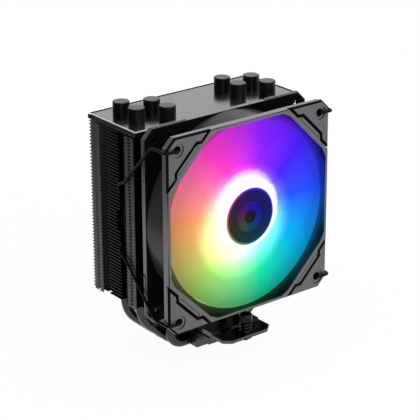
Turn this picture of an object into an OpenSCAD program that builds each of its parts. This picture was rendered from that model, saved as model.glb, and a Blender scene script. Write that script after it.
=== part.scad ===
// Tower cooler for a processor: a base with four U-bent heat pipes, a stack of folded fins,
// one axial fan held by two wire clips, and a bracket with two sprung mounting screws.
// Millimetres. +Z is up, the fan is on the -Y side, and the origin is the middle of the contact face.

/* [Base] */
// Width of the base plate, along the heat pipes
base_w = 31.2; // [30:0.2:33]
// Thickness of the base plate
base_t = 6.4; // [6.2:0.1:9]
// How far the clamp block reaches past the base plate at the front and rear
clamp_overhang = 11.7; // [6:0.1:13]
// Thickness of the wide lower step of the clamp block
clamp_step_t = 4.3; // [3:0.1:6]
// Thickness of the narrow upper step of the clamp block
clamp_top_t = 3.3; // [2:0.1:5]
// How far the upper step is set in from the lower one
clamp_inset = 2.6; // [1:0.1:2.8]

/* [Bracket] */
// Width of the mounting bracket
bracket_w = 36.2; // [32:0.2:40]
// Thickness of the mounting bracket
bracket_t = 2; // [1.5:0.1:3]
// Distance between the two mounting screws
screw_pitch = 95; // [92:0.5:98]
// Bracket left beyond each mounting screw
bracket_end = 4.2; // [3.9:0.1:6]
// Length of the corner chamfers, along the bracket
bracket_chamfer_l = 3.8; // [2:0.1:6]
// Width of the corner chamfers, across the bracket
bracket_chamfer_w = 4.5; // [2:0.1:8]
// Length of the cover plate on the bracket
cover_l = 75.2; // [70:0.2:80]
// Thickness of the cover plate
cover_t = 0.9; // [0.8:0.1:1.5]
// Diameter of the four screws through cover, bracket and clamp block
fixing_d = 3; // [2:0.1:3.2]
// Spacing of those screws across the bracket
fixing_pitch_x = 20; // [16:0.2:21]
// Wall between those screws and the outer heat pipes
fixing_wall = 1.4; // [1:0.1:2]
// Base plate left beyond those screws
base_rim = 1.1; // [1:0.1:4]
// Plate left below the tips of those screws
fixing_floor = 2; // [1:0.1:4]

/* [Mounting screws] */
// Diameter of the screw shank
shank_d = 5; // [4.6:0.1:5]
// Shank left below the retaining clip
shank_lip = 0.5; // [0.4:0.1:1.2]
// Diameter of the threaded tip
tip_d = 3.5; // [3:0.1:4]
// Length of the threaded tip, which is drawn in until its screw is pressed down
tip_l = 1.2; // [1:0.1:3]
// Diameter of the screw head
head_d = 8.2; // [7.8:0.1:9]
// Height of the screw head
head_h = 3.8; // [3:0.1:4.5]
// Height of the gap that the spring fills at rest
spring_room = 8.6; // [7.6:0.1:9.2]
// How far a screw can be pressed down
press_travel = 3.4; // [2:0.1:3.8]
// Wire of the spring
spring_wire = 1; // [0.8:0.05:1]
// Outer diameter of the spring
spring_d = 7.6; // [7.6:0.1:8]
// Turns of the spring
spring_turns = 3.5; // [3:0.5:4]
// Outer diameter of the retaining clip
keeper_d = 7.6; // [6.4:0.1:9]
// Thickness of the retaining clip
keeper_t = 0.8; // [0.6:0.1:1.4]

/* [Heat pipes] */
// Diameter of the heat pipes
pipe_d = 6; // [5:0.1:6.4]
// Spacing of the heat pipes
pipe_pitch = 7.6; // [7:0.1:7.8]
// Height of the pipe axis in the base, where its underside is milled flush
pipe_z = 2.4; // [2.2:0.1:2.8]
// Straight run of the inner legs beside the base plate
inner_run = 4.6; // [0.8:0.1:6]
// Straight run of the outer legs beside the base plate
outer_run = 4; // [1:0.1:6]
// Distance of the outer legs from the sides of the fins
leg_margin = 14.4; // [12:0.1:16]
// Bend radius of the inner legs
inner_bend = 9; // [8:0.5:12]
// Lean of the slanted runs to the outer legs, from upright
outer_lean = 49; // [44:1:54]
// Bend radius between base and slanted run
lower_bend = 10; // [8:0.5:12]
// Bend radius between slanted run and outer leg
outer_bend = 20; // [14:0.5:22]

/* [Fins] */
// Fin reach from the middle towards the fan
fin_front = 26; // [22:0.2:26]
// Fin reach from the middle to the rear
fin_rear = 24.3; // [22:0.1:26]
// How much lower than the fan the stack of fins is
fin_short = 13.4; // [13:0.2:24]
// Spacing of the fins
fin_pitch = 2.05; // [1.8:0.01:2.05]
// Sheet thickness of the fins
fin_t = 0.4; // [0.3:0.05:0.5]
// Height of the lowest fin edge above the contact face
fin_bottom = 37.4; // [34:0.2:40]
// Length of each folded side tab
tab_l = 8.5; // [7:0.1:9]
// Gap between a tab and the fin below it
tab_gap = 0.2; // [0.1:0.05:0.4]
// Length of the slot in a tab
slot_l = 2.4; // [1:0.1:4]
// Height of the slot in a tab
slot_h = 1.1; // [0.5:0.05:1.2]
// Length of the set-in front corner of a fin
front_corner_l = 6.2; // [5:0.1:7]
// Depth of the set-in front corner
front_corner_in = 3.5; // [1:0.1:5]
// Length of the tapered rear corner
rear_corner_l = 2; // [0.5:0.1:3]
// Depth of the tapered rear corner
rear_corner_in = 0.3; // [0.2:0.1:3]
// Length of the low edge behind each tab
ledge_l = 3.3; // [2.5:0.1:3.6]
// Depth of that low edge
ledge_in = 1; // [0.6:0.1:1.5]
// Width of the groove that the wire clip drops into
groove_w = 3.4; // [3.2:0.1:4]
// Depth of that groove
groove_in = 4.6; // [4.3:0.1:5.5]
// Width of the rear groove
rear_groove_w = 2.5; // [1.5:0.1:3.5]
// Depth of the rear groove
rear_groove_in = 3; // [1.5:0.1:4]
// Depth of the plain edge between the grooves
plain_in = 0.4; // [0.2:0.1:0.8]
// Extra width of the groove at the finger notch
notch_w = 3; // [1:0.1:4]
// Height of the finger notch
notch_h = 11.6; // [8:0.2:16]
// How far the middle of the finger notch lies below the fan's middle
notch_drop = 2.5; // [0:0.5:10]

/* [Top] */
// Thickness of the top plate
top_t = 0.9; // [0.6:0.1:1.5]
// Depth of the skirt folded down from the top plate
skirt_h = 3.3; // [2:0.1:3.6]
// How far the top plate stands past the fins at the sides
top_lip = 0.2; // [0.1:0.1:1]
// How far the top plate is set back from the front of the fins
top_set_back = 3.8; // [2:0.2:6]
// Gap between the top fin and the skirt of the top plate
top_gap = 1.3; // [0.6:0.1:3]
// Outer radius of the fold between the top plate and its skirt
fold_r = 0.8; // [0.4:0.1:0.8]
// Diameter of the pipe caps
cap_d = 10; // [8:0.2:11]
// Height of the pipe caps
cap_h = 7.4; // [5:0.2:10]
// Wall above the pipe end inside a cap
cap_roof = 1.8; // [1:0.1:3]

/* [Fan frame] */
// Side of the fan frame
fan_size = 120; // [118:0.5:124]
// Depth of the fan frame
fan_depth = 25; // [25:0.5:28]
// Distance of the fan's screw holes from its sides
hole_inset = 7.5; // [7:0.1:8.5]
// Diameter of the fan's screw holes
hole_d = 4.3; // [4:0.1:5]
// Gap between the heads of the mounting screws and the fan
fan_over_screw = 3.6; // [2.6:0.1:8]
// Gap between the fan's rear pads and the fins
fan_gap = 0.45; // [0.3:0.05:2]
// Corner chamfer of the fan frame
fan_chamfer = 5.7; // [4:0.1:6.5]
// Thickness of the front flange
front_flange_t = 4.9; // [4:0.1:6]
// Thickness of the rear flange
rear_flange_t = 3.5; // [3.2:0.1:5]
// How far the frame rails lie below the pads' sides
rail_drop = 0.4; // [0.2:0.1:0.8]
// Bevel of the rails' outer edges
rail_edge = 0.4; // [0.2:0.1:0.6]
// Rail left beside the front opening
rail_w = 2.2; // [1.6:0.1:3]
// Depth of the eight-sided front opening
mouth_depth = 3.5; // [2:0.1:3.8]
// Distance from the duct to the slanted sides of the opening
mouth_margin = 2.4; // [1.5:0.1:3]
// Corner reach of the opening beyond the duct
mouth_round = 5; // [3.5:0.1:6]
// Distance of the fine line on each corner bar from the pad's pocket
bar_line_in = 2; // [1.4:0.1:2.6]
// Width of that line
bar_line_w = 0.4; // [0.3:0.05:0.6]
// Depth of that line
bar_line_depth = 0.3; // [0.2:0.05:0.5]
// Frame left between the duct and the fan's sides
duct_margin = 2.4; // [2.2:0.1:3.2]
// Wall of the duct
duct_wall = 1.8; // [1:0.1:1.9]
// Width of the four rear struts
strut_w = 6; // [4:0.2:9]
// Thickness of the struts and the motor plate
strut_t = 3; // [2.5:0.1:3.2]

/* [Corner pads] */
// Length of a pad along each side of the frame
pad_l = 30.9; // [28:0.1:31]
// Width of the pad's arms
pad_arm = 6.4; // [6:0.1:7]
// Distance from the frame's side to the start of the slanted inner edge
pad_corner = 20.8; // [18:0.1:22]
// Depth of the pocket that holds a pad
pocket_depth = 2.4; // [1.5:0.1:2.8]
// How far a pad stands out of its pocket
pad_proud = 0.15; // [0.1:0.05:0.4]
// Bevel round a pad's face
pad_edge = 1.2; // [0.5:0.1:1.4]
// Gap between a pad and its pocket
pad_gap = 0.8; // [0.3:0.1:1]
// Diameter of the pad's hole
pad_hole_d = 5; // [4.6:0.1:6]
// Diameter of the shallow ring round the pad's hole
pad_ring_d = 8.6; // [7:0.1:9.4]
// Depth of that ring
pad_ring_depth = 0.6; // [0.3:0.1:1]

/* [Rotor] */
// Number of blades
blade_count = 9; // [7:1:9]
// Gap between the blade tips and the duct
tip_gap = 0.8; // [0.6:0.1:2]
// Radius of the hub
hub_r = 20.8; // [20:0.1:22]
// Wall of the hub
hub_wall = 1.5; // [1:0.1:1.8]
// Gap between the hub and the motor plate behind it
hub_gap = 1.4; // [1:0.1:2]
// How far the hub's front lies behind the frame's front
hub_back = 0.3; // [0.2:0.1:1]
// Bevel of the hub's front edge
hub_edge = 0.6; // [0.3:0.1:1]
// Width of the lit ring round the hub cap
lit_ring_w = 3.3; // [2.8:0.1:5]
// Thickness of the hub cap
cap_disc_t = 1; // [0.7:0.1:1.2]
// Radius of the widest ring cut in the hub cap
cap_ring_r = 9.2; // [8:0.1:12]
// Chord of a blade at the hub
root_chord = 28; // [24:0.5:30]
// Chord of a blade at the tip
tip_chord = 50; // [40:0.5:52]
// Pitch of a blade at the hub
root_pitch = 22; // [18:1:26]
// Pitch of a blade at the tip
tip_pitch = 8; // [6:1:12]
// Depth of the blades' roots behind the frame's front
blade_depth = 11; // [10.4:0.1:12]
// How far the blades' tips lean forward of their roots
blade_rake = 2; // [0:0.1:3]
// Thickness of a blade
blade_t = 1.6; // [1.2:0.1:2]
// Angle that the tip is swept ahead of the root
blade_sweep = 16; // [0:1:24]
// Camber of a blade, as a part of its chord
blade_camber = 0.06; // [0.02:0.01:0.1]
// Diameter of the fan shaft
shaft_d = 3; // [2:0.1:3.4]

/* [Wire clips] */
// Diameter of the clip wire
wire_d = 1.7; // [1.4:0.1:1.8]
// Reach of the wire ends into the fan's holes
wire_hook = 3.2; // [2:0.1:4]
// Gap between the wire and what it passes over
wire_gap = 0.35; // [0.3:0.05:0.6]
// Length of the straight side arm behind the front corner
wire_arm = 12.4; // [8:0.1:16]
// Height of the upper bend above the fan's middle
wire_bend_z = 24.3; // [22.6:0.1:30]
// Half the height of the run inside the groove
wire_run_z = 16.8; // [12:0.1:17.4]
// Gap between the wire and the front wall of its groove
wire_seat = 0.7; // [0.6:0.05:0.8]
// How far the run in the groove lies below the low edge before it
wire_sink = 0.8; // [0.3:0.1:0.9]
// Bend radius of the wire
wire_bend_r = 2.4; // [1.6:0.1:2.6]

/* [Hidden] */
$fn = 64;
// Clearances: pressed fit, running fit, and a hole that a screw passes through
press = 0.05;
running = 0.08;
free = 0.1;
// A length that carries cuts past the faces they cut
over = 1;

// Heights of the base stack
clamp_z = base_t;
bracket_z = clamp_z + clamp_step_t + clamp_top_t;
bracket_top = bracket_z + bracket_t;
cover_top = bracket_top + cover_t;
fixing_head_d = 2 * fixing_d;
// Base plate, deep enough for the pipes and the screws beside them
pipe_count = 4;
fixing_y = (pipe_count - 1) / 2 * pipe_pitch + pipe_d / 2 + fixing_wall + fixing_d / 2;
base_d = 2 * (fixing_y + fixing_d / 2 + base_rim);
// Mounting screw levels
head_z = bracket_top + spring_room;
keeper_z = bracket_z - free - keeper_t;
shank_z = keeper_z - free - shank_lip;
tip_z = shank_z - tip_l;
keeper_groove = 0.4;
socket_d = 4.6;
socket_depth = 2;

// Fan levels: depth runs from the front face along +Y
fan_half = fan_size / 2;
fan_bottom = head_z + head_h + fan_over_screw;
fan_z = fan_bottom + fan_half;
fan_front_y = -fin_front - fan_gap - pad_proud - fan_depth;
hole_pitch = fan_size - 2 * hole_inset;
rail_half = fan_half - rail_drop;
duct_r = fan_half - duct_margin;
motor_z = fan_depth - strut_t;
// Fins as wide as the fan, the top plate over them, and the pipes' legs
fin_half_w = fan_half;
fin_count = round((fan_size - fin_short) / fin_pitch);
notch_z = fan_z - notch_drop;
top_front = fin_front - top_set_back;
top_z = fin_bottom + fin_count * fin_pitch + top_gap + skirt_h;
pipe_top = top_z + cap_h - cap_roof;
inner_leg = base_w / 2 + inner_run + inner_bend;
outer_leg = fin_half_w - leg_margin;
// Fin side edges from front to rear
front_tab_y = -fin_front + front_corner_l;
groove_y = front_tab_y + tab_l + ledge_l;
rear_tab_y = fin_rear - rear_corner_l - tab_l;
rear_groove_y = rear_tab_y - ledge_l - rear_groove_w;

// Hub and motor pieces inside it, from the axis outwards
blade_tip_r = duct_r - tip_gap;
hub_depth = motor_z - hub_gap - hub_back;
cap_disc_r = hub_r - lit_ring_w;
shaft_r = shaft_d / 2;
hub_inner_r = hub_r - hub_wall;
hub_front_t = 2.2;
boss_wall = 2;
boss_end = 5.5;
tube_z = 6.5;
bearing_wall = 2;
bearing_margin = 1;
tube_wall = 1.4;
bearing_r = shaft_r + running + bearing_wall;
tube_r = bearing_r + press + tube_wall;
yoke_t = 1.6;
yoke_r = hub_inner_r - press;
yoke_z = 3;
yoke_rear_gap = 4.5;
yoke_l = motor_z - yoke_z - yoke_rear_gap;
magnet_t = 1.6;
magnet_r = yoke_r - yoke_t - press;
magnet_z = 5;
magnet_rear_gap = 5;
magnet_l = motor_z - magnet_z - magnet_rear_gap;
air_gap = 0.7;
stator_r = magnet_r - magnet_t - air_gap;
stator_z = 7;
stator_core_t = 2.2;
pole_count = 4;
pole_w = 3;
shoe_t = 1.4;
shoe_angle = 66;
coil_t = 1.6;
coil_gap = 0.3;
board_gap = 3.6;
board_z = motor_z - board_gap;
coil_rear_gap = 1.8;
stator_l = board_z - stator_z - coil_t - coil_rear_gap;
board_t = 1.2;
board_margin = 2.6;
lamp_count = 6;
lamp_size = 2;
lamp_h = 0.8;
shaft_front = 1.6;
shaft_rear_gap = 1.4;
shaft_end = motor_z - shaft_rear_gap;
washer_rear_gap = 2.3;
washer_z = motor_z - washer_rear_gap;
washer_t = 0.5;
washer_wall = 1;
washer_r = shaft_r + washer_wall;
washer_groove = 0.3;

// Clip wire: level of the side arm, of the run in the groove, and of the front run
wire_r = wire_d / 2;
wire_side_x = max(fan_half, fin_half_w) + wire_gap + wire_r;
wire_front_y = fan_front_y - pad_proud - wire_gap - wire_r;
wire_groove_y = groove_y + wire_seat + wire_r;
wire_groove_x = fin_half_w - ledge_in - wire_gap - wire_r - wire_sink;

CORNERS = ["bottom_right", "bottom_left", "top_left", "top_right"];

// A box centred on X and Y, standing on z
module slab(w, d, z, h) {
    translate([-w / 2, -d / 2, z]) cube([w, d, h]);
}

// A tube wall between two radii, from z upwards
module ring(outer, inner, z, h) {
    translate([0, 0, z]) difference() {
        cylinder(r = outer, h = h);
        translate([0, 0, -over]) cylinder(r = inner, h = h + 2 * over);
    }
}

// Base and bracket

// The four places of the screws through cover, bracket, clamp block and base plate
module fixing_places() {
    for (x = [-1, 1], y = [-1, 1])
        translate([x * fixing_pitch_x / 2, y * fixing_y, 0]) children();
}

module fixing_holes(z, h) {
    fixing_places() translate([0, 0, z]) cylinder(d = fixing_d + 2 * free, h = h);
}

function pipe_y(k) = (k - (pipe_count - 1) / 2) * pipe_pitch;

module base_plate() {
    color("#7d7f82") difference() {
        slab(base_w, base_d, 0, base_t);
        for (k = [0:pipe_count - 1])
            translate([-base_w / 2 - over, pipe_y(k), pipe_z])
                rotate([0, 90, 0]) cylinder(d = pipe_d + 2 * press, h = base_w + 2 * over);
        fixing_holes(fixing_floor, base_t);
    }
}

module clamp_block() {
    clamp_d = base_d + 2 * clamp_overhang;
    color("#3a3b3d") difference() {
        union() {
            slab(base_w, clamp_d, clamp_z, clamp_step_t);
            slab(base_w - 2 * clamp_inset, clamp_d - 2 * clamp_inset, clamp_z, clamp_step_t + clamp_top_t);
        }
        fixing_holes(clamp_z - over, clamp_step_t + clamp_top_t + 2 * over);
    }
}

// Puts what is drawn at the front screw for side -1, or at the rear one for side 1
module at_screw(side) {
    translate([0, side * screw_pitch / 2, 0]) children();
}

module bracket_outline() {
    w = bracket_w / 2;
    l = screw_pitch / 2 + bracket_end;
    corner = [[w, l - bracket_chamfer_l], [w - bracket_chamfer_w, l]];
    polygon([
        corner[0], corner[1],
        [-corner[1].x, corner[1].y], [-corner[0].x, corner[0].y],
        -corner[0], -corner[1],
        [corner[1].x, -corner[1].y], [corner[0].x, -corner[0].y]
    ]);
}

module mounting_bracket() {
    color("#1b1c1e") difference() {
        translate([0, 0, bracket_z]) linear_extrude(bracket_t) bracket_outline();
        for (side = [-1, 1]) at_screw(side) translate([0, 0, bracket_z - over])
            cylinder(d = shank_d + 2 * running, h = bracket_t + 2 * over);
        fixing_holes(bracket_z - over, bracket_t + 2 * over);
    }
}

module bracket_cover() {
    color("#2a2b2d") difference() {
        slab(bracket_w, cover_l, bracket_top, cover_t);
        fixing_places() translate([0, 0, bracket_top - over])
            cylinder(d = fixing_head_d + 2 * free, h = cover_t + 2 * over);
    }
}

module bracket_screws() {
    color("#8d9094") fixing_places() {
        translate([0, 0, fixing_floor + free]) cylinder(d = fixing_d, h = cover_top - fixing_floor - free);
        translate([0, 0, bracket_top]) difference() {
            cylinder(d = fixing_head_d, h = cover_t);
            translate([0, 0, cover_t / 2]) cylinder(d = fixing_d, h = cover_t, $fn = 6);
        }
    }
}

// Heat pipes, fins and top

// A straight length of pipe along +X, and what follows at its end
module straight(l) {
    rotate([0, 90, 0]) cylinder(d = pipe_d, h = l);
    translate([l, 0, 0]) children();
}

// A straight length after a slanted bend: it stops a hair short, and thin rings close its joints
module jointed(l, far_joint) {
    ring_l = 0.4;
    ring_t = 0.02;
    gap = ring_l / 4;
    far_gap = far_joint ? gap : 0;
    rotate([0, 90, 0]) {
        translate([0, 0, gap]) cylinder(d = pipe_d, h = l - gap - far_gap);
        for (end = far_joint ? [0, l] : [0])
            translate([0, 0, end - ring_l / 2]) cylinder(d = pipe_d + 2 * ring_t, h = ring_l);
    }
    translate([l, 0, 0]) children();
}

// A bend of the pipe from +X upwards, and what follows at its end
module bend(r, angle) {
    translate([0, 0, r]) rotate([90, 0, 0]) rotate([0, 0, -90])
        rotate_extrude(angle = angle) translate([r, 0]) circle(d = pipe_d);
    translate([r * sin(angle), 0, r * (1 - cos(angle))]) rotate([0, -angle, 0]) children();
}

// The half of a U with the inner leg: a run in the base, one bend and the leg
module inner_arm() {
    translate([0, 0, pipe_z]) straight(inner_leg - inner_bend) bend(inner_bend, 90)
        straight(pipe_top - pipe_z - inner_bend);
}

// The half with the outer leg: a run in the base, a slanted run between two bends, and the leg
module outer_arm() {
    run = base_w / 2 + outer_run;
    bends_x = lower_bend * cos(outer_lean) + outer_bend * (1 - cos(outer_lean));
    bends_z = lower_bend * (1 - sin(outer_lean)) + outer_bend * sin(outer_lean);
    slant = (outer_leg - run - bends_x) / sin(outer_lean);
    leg_z = pipe_z + bends_z + slant * cos(outer_lean);
    translate([0, 0, pipe_z]) straight(run) bend(lower_bend, 90 - outer_lean) jointed(slant, true)
        bend(outer_bend, outer_lean) jointed(pipe_top - leg_z, false);
}

// Even pipes have the inner leg on the left, odd ones on the right
function inner_side(k) = k % 2 == 0 ? -1 : 1;

module heat_pipe(k) {
    flip = inner_side(k) < 0 ? [0, 0, 0] : [1, 0, 0];
    color("#26272a") translate([0, pipe_y(k), 0]) mirror(flip) difference() {
        union() {
            mirror([1, 0, 0]) inner_arm();
            outer_arm();
        }
        translate([-outer_leg, -pipe_d, -2 * pipe_d]) cube([2 * outer_leg, 2 * pipe_d, 2 * pipe_d]);
    }
}

// The eight legs, as [x, y]
LEGS = [
    for (k = [0:pipe_count - 1]) for (leg = [-inner_leg, outer_leg])
        [-inner_side(k) * leg, pipe_y(k)]
];

module leg_places() {
    for (leg = LEGS) translate(leg) children();
}

// One side of a fin, from the front corner to the rear one
function fin_edge(notched) = let(
    w = fin_half_w,
    groove_end = groove_y + groove_w + (notched ? notch_w : 0)
) [
    [w - front_corner_in, -fin_front],
    [w - front_corner_in, front_tab_y],
    [w, front_tab_y],
    [w, front_tab_y + tab_l],
    [w - ledge_in, front_tab_y + tab_l],
    [w - ledge_in, groove_y],
    [w - groove_in, groove_y],
    [w - groove_in, groove_end],
    [w - plain_in, groove_end],
    [w - plain_in, rear_groove_y],
    [w - rear_groove_in, rear_groove_y],
    [w - rear_groove_in, rear_groove_y + rear_groove_w],
    [w - ledge_in, rear_groove_y + rear_groove_w],
    [w - ledge_in, rear_tab_y],
    [w, rear_tab_y],
    [w, rear_tab_y + tab_l],
    [w - rear_corner_in, fin_rear]
];

module fin_outline(notched) {
    edge = fin_edge(notched);
    last = len(edge) - 1;
    polygon(concat(edge, [for (k = [0:last]) [-edge[last - k].x, edge[last - k].y]]));
}

// A folded tab on the right side, hanging from its fin, with its slot
module fin_tab(y) {
    drop = fin_pitch - fin_t - tab_gap;
    translate([fin_half_w - fin_t, y, -drop]) difference() {
        cube([fin_t, tab_l, drop + fin_t]);
        translate([-over, (tab_l - slot_l) / 2, (drop - slot_h) / 2])
            cube([fin_t + 2 * over, slot_l, slot_h]);
    }
}

module fin(notched) {
    linear_extrude(fin_t) difference() {
        fin_outline(notched);
        leg_places() circle(d = pipe_d + 2 * press);
    }
    for (flip = [0, 1], y = [front_tab_y, rear_tab_y]) mirror([flip, 0, 0]) fin_tab(y);
}

module cooling_fins() {
    color("#4c4d50") for (k = [1:fin_count]) {
        z = fin_bottom + k * fin_pitch - fin_t;
        translate([0, 0, z]) fin(abs(z - notch_z) < notch_h / 2);
    }
}

// A bar along Y, w wide and h high, with its two upper edges rounded to radius r
module rounded_bar(w, l, h, r) {
    rotate([90, 0, 0]) linear_extrude(l, center = true) {
        translate([-w / 2, 0]) square([w, h - r]);
        translate([r - w / 2, 0]) square([w - 2 * r, h]);
        for (side = [-1, 1]) translate([side * (w / 2 - r), h - r]) circle(r);
    }
}

module top_plate() {
    w = 2 * (fin_half_w + top_lip);
    d = top_front + fin_rear;
    color("#8a8b8d") translate([0, (fin_rear - top_front) / 2, 0]) difference() {
        translate([0, 0, top_z - skirt_h]) intersection() {
            rounded_bar(w, d, skirt_h, fold_r);
            rotate([0, 0, 90]) rounded_bar(d, w, skirt_h, fold_r);
        }
        slab(w - 2 * top_t, d - 2 * top_t, top_z - skirt_h - over, skirt_h - top_t + over);
        translate([0, (top_front - fin_rear) / 2, top_z - skirt_h - over])
            leg_places() cylinder(d = pipe_d + 2 * press, h = skirt_h + 2 * over);
    }
}

module pipe_cap(k) {
    edge = 0.5;
    color("#1c1c1e") translate(concat(LEGS[k], top_z)) difference() {
        union() {
            cylinder(d = cap_d, h = cap_h - edge);
            translate([0, 0, cap_h - edge]) cylinder(d1 = cap_d, d2 = cap_d - 2 * edge, h = edge);
        }
        translate([0, 0, -over]) cylinder(d = pipe_d + 2 * press, h = cap_h - cap_roof + free + over);
    }
}

// Fan frame and pads

// Stands what is drawn with its depth along +Z in the fan's place
module on_fan() {
    translate([0, fan_front_y, fan_z]) rotate([-90, 0, 0]) children();
}

module corners() {
    for (k = [0:3]) rotate([0, 0, 90 * k]) children();
}

module hole_places() {
    corners() translate([hole_pitch / 2, hole_pitch / 2, 0]) children();
}

// A square with chamfered corners
module chamfered_square(half, chamfer) {
    c = half - chamfer;
    polygon([
        [half, c], [c, half], [-c, half], [-half, c],
        [-half, -c], [-c, -half], [c, -half], [half, -c]
    ]);
}

// Cuts a bevel of that size along the outer edges of a chamfered square's face at z = 0
module edge_cuts(half, chamfer, bevel) {
    side = bevel * sqrt(2);
    corners() {
        translate([half, 0, 0]) rotate([0, 45, 0]) cube([side, 2 * half, side], center = true);
        rotate([0, 0, 45]) translate([sqrt(2) * (half - chamfer / 2), 0, 0])
            rotate([0, 45, 0]) cube([side, 2 * half, side], center = true);
    }
}

// The eight-sided front opening, its corners rounded by a circle
module mouth_outline() {
    flat = fan_half - rail_w;
    slant = sqrt(2) * (duct_r + mouth_margin);
    intersection() {
        chamfered_square(flat, 2 * flat - slant);
        circle(r = duct_r + mouth_round);
    }
}

// A pad's outline in the corner towards +X and +Y. Grown by gap, it is the outline of the pocket
function pad_points(gap) = let(
    reach = pad_l + gap * sqrt(2),
    arm = pad_arm + gap,
    slant = pad_arm + pad_corner + gap * sqrt(2)
) [
    [arm, reach - arm], [arm, slant - arm], [slant - arm, arm], [reach - arm, arm]
];

// Points in the corner towards +X and +Y, from their distances to the fan's sides
function in_corner(points) = [for (p = points) [fan_half - p.x, fan_half - p.y]];

module pocket_outline() {
    reach = pad_l + pad_gap * sqrt(2) + over;
    polygon(in_corner(concat([[-over, reach]], pad_points(pad_gap), [[reach, -over], [-over, -over]])));
}

function right_of(v) = [v.y, -v.x];

// An outline that runs clockwise, with every side moved inwards
function inset(points, d) = let(n = len(points)) [
    for (k = [0:n - 1]) let(
        a = right_of(unit(points[k] - points[(k + n - 1) % n])),
        b = right_of(unit(points[(k + 1) % n] - points[k]))
    ) points[k] + d * (a + b) / (1 + a * b)
];

// A plate with a bevel all round its face at z = 0: the plate, its face, and a wedge along each side
module bevelled_plate(outline, h, bevel) {
    face = inset(outline, bevel);
    translate([0, 0, bevel]) linear_extrude(h - bevel) polygon(outline);
    linear_extrude(h) polygon(face);
    for (k = [0:len(outline) - 1]) let(next = (k + 1) % len(outline)) polyhedron(
        [for (p = [k, next]) each [concat(outline[p], bevel), concat(face[p], 0), concat(face[p], bevel)]],
        [[0, 2, 1], [3, 4, 5], [0, 1, 4], [0, 4, 3], [1, 2, 5], [1, 5, 4], [2, 0, 3], [2, 3, 5]]
    );
}

// One corner pad seated in a front pocket
module seated_pad(k) {
    pad_t = pocket_depth + pad_proud;
    outer = [[pad_l, 0], [fan_chamfer, 0], [0, fan_chamfer], [0, pad_l]];
    rotate([0, 0, 90 * k]) translate([0, 0, -pad_proud]) difference() {
        bevelled_plate(in_corner(concat(pad_points(0), outer)), pad_t, pad_edge);
        translate([hole_pitch / 2, hole_pitch / 2, -over]) {
            cylinder(d = pad_hole_d, h = pad_t + 2 * over);
            cylinder(d = pad_ring_d, h = over + pad_ring_depth);
        }
    }
}

module front_pad(k) {
    color("#6a6b6d") on_fan() seated_pad(k);
}

module rear_pad(k) {
    color("#5c5d60") on_fan() translate([0, 0, fan_depth]) mirror([0, 0, 1]) seated_pad(k);
}

// Three sides of a rectangle, cut as a fine line into the bar beside each front pocket
module bar_lines() {
    slant = in_corner([pad_points(pad_gap)[1], pad_points(pad_gap)[2]]);
    l = norm(slant[1] - slant[0]);
    pocket_r = norm(slant[0] + slant[1]) / 2;
    corners() rotate([0, 0, 45]) translate([pocket_r - bar_line_in, -l / 2, -over]) difference() {
        cube([bar_line_in + over, l, over + bar_line_depth]);
        translate([bar_line_w, bar_line_w, -over])
            cube([bar_line_in + 2 * over, l - 2 * bar_line_w, 2 * over + 2 * bar_line_depth]);
    }
}

module fan_frame() {
    pocket_floor = pocket_depth + over;
    color("#3c3d40") on_fan() difference() {
        union() {
            linear_extrude(front_flange_t) chamfered_square(rail_half, fan_chamfer);
            translate([0, 0, fan_depth - rear_flange_t])
                linear_extrude(rear_flange_t) chamfered_square(rail_half, fan_chamfer);
            cylinder(r = duct_r + duct_wall, h = fan_depth);
        }
        difference() {
            translate([0, 0, -over]) cylinder(r = duct_r, h = fan_depth + 2 * over);
            motor_mount();
        }
        translate([0, 0, -over]) linear_extrude(mouth_depth + over) mouth_outline();
        corners() {
            translate([0, 0, -over]) linear_extrude(pocket_floor) pocket_outline();
            translate([0, 0, fan_depth - pocket_depth]) linear_extrude(pocket_floor) pocket_outline();
        }
        hole_places() translate([0, 0, -over]) cylinder(d = hole_d, h = fan_depth + 2 * over);
        for (z = [0, fan_depth]) translate([0, 0, z]) edge_cuts(rail_half, fan_chamfer, rail_edge);
        bar_lines();
    }
}

// The rear plate behind the hub, its four struts and the bearing tube
module motor_mount() {
    translate([0, 0, motor_z]) cylinder(r = hub_r, h = strut_t);
    corners() translate([0, -strut_w / 2, motor_z]) cube([duct_r + duct_wall / 2, strut_w, strut_t]);
    ring(tube_r, bearing_r + press, tube_z, motor_z - tube_z + over);
}

// Rotor

function mix(a, b, s) = a + (b - a) * s;

// Grid of a blade, and its thinning towards the tip and the edges
blade_spans = 7;
blade_chords = 7;
tip_thinning = 0.35;
edge_thinning = 2.6;

// A point of a blade: s runs from root to tip, c along the chord from -0.5 to 0.5, side is -1 or 1
function blade_point(s, c, side) = let(
    root_r = hub_r - hub_wall / 2,
    r = mix(root_r, blade_tip_r, s),
    chord = mix(root_chord, tip_chord, s),
    pitch = mix(root_pitch, tip_pitch, s),
    arch = blade_camber * chord * (1 - 4 * c * c),
    half_t = blade_t / 2 * (1 - tip_thinning * s) * (1 - edge_thinning * c * c),
    lift = arch + side * half_t,
    along = c * chord,
    turn = blade_sweep * s * s + (along * cos(pitch) - lift * sin(pitch)) / r * 180 / PI,
    depth = blade_depth - blade_rake * s + along * sin(pitch) + lift * cos(pitch)
) [r * cos(turn), r * sin(turn), depth];

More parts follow.
